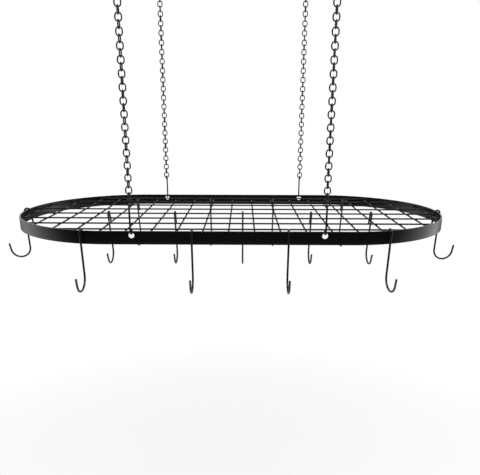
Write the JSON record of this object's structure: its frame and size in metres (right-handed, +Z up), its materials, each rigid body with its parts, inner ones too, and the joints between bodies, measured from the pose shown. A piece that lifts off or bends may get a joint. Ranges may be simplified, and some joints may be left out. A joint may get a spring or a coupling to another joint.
{
  "type": "hanging pot rack",
  "caption": "Oval steel band with a wire grid, hung level from the ceiling on chains, with loose pot hooks that slide on the band or swing on the grid.",
  "frame": {"origin": "middle of the four ceiling screws, on the ceiling face; the rack hangs below", "axes": "+X along the rack, to the right seen from the front; +Y to the back; +Z up into the ceiling"},
  "size_m": [1.0363, 0.4782, 0.7041],
  "materials": {
    "band_black": "satin black powder coat",
    "grid_black": "satin black powder coat",
    "chain_black": "black coated chain",
    "hanger_hook_black": "satin black",
    "pot_hook_black": "satin black",
    "ceiling_hook_black": "satin black"
  },
  "bodies": {
    "ceiling_hooks": {"ceiling_hook_fl": "ceiling_hook_black", "ceiling_hook_fr": "ceiling_hook_black", "ceiling_hook_bl": "ceiling_hook_black", "ceiling_hook_br": "ceiling_hook_black"},
    "top_link_fl": {"top_link_fl": "chain_black"},
    "chain_fl": {"chain_fl": "chain_black"},
    "hanger_hook_fl": {"hanger_hook_fl": "hanger_hook_black"},
    "top_link_fr": {"top_link_fr": "chain_black"},
    "chain_fr": {"chain_fr": "chain_black"},
    "hanger_hook_fr": {"hanger_hook_fr": "hanger_hook_black"},
    "top_link_bl": {"top_link_bl": "chain_black"},
    "chain_bl": {"chain_bl": "chain_black"},
    "hanger_hook_bl": {"hanger_hook_bl": "hanger_hook_black"},
    "top_link_br": {"top_link_br": "chain_black"},
    "chain_br": {"chain_br": "chain_black"},
    "hanger_hook_br": {"hanger_hook_br": "hanger_hook_black"},
    "rack": {"oval_band": "band_black", "grid_long_wires": "grid_black", "grid_cross_wires": "grid_black"},
    "front_hook_1": {"front_hook_1": "pot_hook_black"},
    "front_hook_2": {"front_hook_2": "pot_hook_black"},
    "front_hook_3": {"front_hook_3": "pot_hook_black"},
    "front_hook_4": {"front_hook_4": "pot_hook_black"},
    "left_end_hook": {"left_end_hook": "pot_hook_black"},
    "right_end_hook": {"right_end_hook": "pot_hook_black"},
    "middle_hook_1": {"middle_hook_1": "pot_hook_black"},
    "middle_hook_2": {"middle_hook_2": "pot_hook_black"},
    "middle_hook_3": {"middle_hook_3": "pot_hook_black"},
    "middle_hook_4": {"middle_hook_4": "pot_hook_black"},
    "middle_hook_5": {"middle_hook_5": "pot_hook_black"},
    "rear_hook_1": {"rear_hook_1": "pot_hook_black"},
    "rear_hook_2": {"rear_hook_2": "pot_hook_black"},
    "rear_hook_3": {"rear_hook_3": "pot_hook_black"},
    "rear_hook_4": {"rear_hook_4": "pot_hook_black"}
  },
  "joints": [
    {"name": "swing_front_back_fl", "type": "hinge", "parent": "ceiling_hooks", "child": "top_link_fl", "pos_m": [-0.181, -0.2085, -0.024], "axis": [1, 0, 0], "range_deg": [-12, 12]},
    {"name": "swing_left_right_fl", "type": "hinge", "parent": "top_link_fl", "child": "chain_fl", "pos_m": [-0.181, -0.2085, -0.03755], "axis": [0, 1, 0], "range_deg": [-12, 12]},
    {"name": "hanger_upright_fl", "type": "hinge", "parent": "chain_fl", "child": "hanger_hook_fl", "pos_m": [-0.181, -0.2085, -0.50585], "axis": [0, 1, 0], "range_deg": [-12, 12]},
    {"name": "swing_front_back_fr", "type": "hinge", "parent": "ceiling_hooks", "child": "top_link_fr", "pos_m": [0.181, -0.2085, -0.024], "axis": [1, 0, 0], "range_deg": [-12, 12]},
    {"name": "swing_left_right_fr", "type": "hinge", "parent": "top_link_fr", "child": "chain_fr", "pos_m": [0.181, -0.2085, -0.03755], "axis": [0, 1, 0], "range_deg": [-12, 12]},
    {"name": "hanger_upright_fr", "type": "hinge", "parent": "chain_fr", "child": "hanger_hook_fr", "pos_m": [0.181, -0.2085, -0.50585], "axis": [0, 1, 0], "range_deg": [-12, 12]},
    {"name": "swing_front_back_bl", "type": "hinge", "parent": "ceiling_hooks", "child": "top_link_bl", "pos_m": [-0.181, 0.2085, -0.024], "axis": [1, 0, 0], "range_deg": [-12, 12]},
    {"name": "swing_left_right_bl", "type": "hinge", "parent": "top_link_bl", "child": "chain_bl", "pos_m": [-0.181, 0.2085, -0.03755], "axis": [0, 1, 0], "range_deg": [-12, 12]},
    {"name": "hanger_upright_bl", "type": "hinge", "parent": "chain_bl", "child": "hanger_hook_bl", "pos_m": [-0.181, 0.2085, -0.50585], "axis": [0, 1, 0], "range_deg": [-12, 12]},
    {"name": "swing_front_back_br", "type": "hinge", "parent": "ceiling_hooks", "child": "top_link_br", "pos_m": [0.181, 0.2085, -0.024], "axis": [1, 0, 0], "range_deg": [-12, 12]},
    {"name": "swing_left_right_br", "type": "hinge", "parent": "top_link_br", "child": "chain_br", "pos_m": [0.181, 0.2085, -0.03755], "axis": [0, 1, 0], "range_deg": [-12, 12]},
    {"name": "hanger_upright_br", "type": "hinge", "parent": "chain_br", "child": "hanger_hook_br", "pos_m": [0.181, 0.2085, -0.50585], "axis": [0, 1, 0], "range_deg": [-12, 12]},
    {"name": "rack_level", "type": "hinge", "parent": "hanger_hook_fl", "child": "rack", "pos_m": [-0.181, -0.2085, -0.5581], "axis": [1, 0, 0], "range_deg": [-12, 12]},
    {"name": "front_hook_1_travel", "type": "hinge", "parent": "rack", "child": "front_hook_1", "pos_m": [-0.232, 0.0476, -0.56187], "axis": [0, 0, 1], "range_deg": [-4, 4.5]},
    {"name": "front_hook_2_travel", "type": "slide", "parent": "rack", "child": "front_hook_2", "axis": [1, 0, 0], "range_m": [-0.027, 0.013]},
    {"name": "front_hook_3_travel", "type": "slide", "parent": "rack", "child": "front_hook_3", "axis": [1, 0, 0], "range_m": [-0.008, 0.032]},
    {"name": "front_hook_4_travel", "type": "hinge", "parent": "rack", "child": "front_hook_4", "pos_m": [0.232, 0.0476, -0.56187], "axis": [0, 0, 1], "range_deg": [0, 8]},
    {"name": "left_end_hook_travel", "type": "hinge", "parent": "rack", "child": "left_end_hook", "pos_m": [-0.28, 0, -0.56187], "axis": [0, 0, 1], "range_deg": [-8, 3.4]},
    {"name": "right_end_hook_travel", "type": "hinge", "parent": "rack", "child": "right_end_hook", "pos_m": [0.28, 0, -0.56187], "axis": [0, 0, 1], "range_deg": [-1, 10.8]},
    {"name": "middle_hook_1_swing", "type": "hinge", "parent": "rack", "child": "middle_hook_1", "pos_m": [-0.276, -0.025, -0.56507], "axis": [1, 0, 0], "range_deg": [-20, 20]},
    {"name": "middle_hook_2_swing", "type": "hinge", "parent": "rack", "child": "middle_hook_2", "pos_m": [-0.126, -0.025, -0.56507], "axis": [1, 0, 0], "range_deg": [-20, 20]},
    {"name": "middle_hook_3_swing", "type": "hinge", "parent": "rack", "child": "middle_hook_3", "pos_m": [0.027, -0.025, -0.56507], "axis": [1, 0, 0], "range_deg": [-20, 20]},
    {"name": "middle_hook_4_swing", "type": "hinge", "parent": "rack", "child": "middle_hook_4", "pos_m": [0.181, -0.025, -0.56507], "axis": [1, 0, 0], "range_deg": [-20, 20]},
    {"name": "middle_hook_5_swing", "type": "hinge", "parent": "rack", "child": "middle_hook_5", "pos_m": [0.316, -0.025, -0.56507], "axis": [1, 0, 0], "range_deg": [-20, 20]},
    {"name": "rear_hook_1_swing", "type": "hinge", "parent": "rack", "child": "rear_hook_1", "pos_m": [-0.244, 0.125, -0.56507], "axis": [1, 0, 0], "range_deg": [-20, 20]},
    {"name": "rear_hook_2_swing", "type": "hinge", "parent": "rack", "child": "rear_hook_2", "pos_m": [-0.056, 0.125, -0.56507], "axis": [1, 0, 0], "range_deg": [-20, 20]},
    {"name": "rear_hook_3_swing", "type": "hinge", "parent": "rack", "child": "rear_hook_3", "pos_m": [0.105, 0.125, -0.56507], "axis": [1, 0, 0], "range_deg": [-20, 20]},
    {"name": "rear_hook_4_swing", "type": "hinge", "parent": "rack", "child": "rear_hook_4", "pos_m": [0.283, 0.125, -0.56507], "axis": [1, 0, 0], "range_deg": [-20, 20]}
  ],
  "couplings": [
    {"joint": "swing_front_back_fr", "follows": "swing_front_back_fl", "ratio": 1},
    {"joint": "swing_left_right_fr", "follows": "swing_left_right_fl", "ratio": 1},
    {"joint": "swing_front_back_bl", "follows": "swing_front_back_fl", "ratio": 1},
    {"joint": "swing_left_right_bl", "follows": "swing_left_right_fl", "ratio": 1},
    {"joint": "swing_front_back_br", "follows": "swing_front_back_fl", "ratio": 1},
    {"joint": "swing_left_right_br", "follows": "swing_left_right_fl", "ratio": 1},
    {"joint": "hanger_upright_fl", "follows": "swing_left_right_fl", "ratio": -1},
    {"joint": "hanger_upright_fr", "follows": "swing_left_right_fl", "ratio": -1},
    {"joint": "hanger_upright_bl", "follows": "swing_left_right_fl", "ratio": -1},
    {"joint": "hanger_upright_br", "follows": "swing_left_right_fl", "ratio": -1},
    {"joint": "rack_level", "follows": "swing_front_back_fl", "ratio": -1}
  ]
}
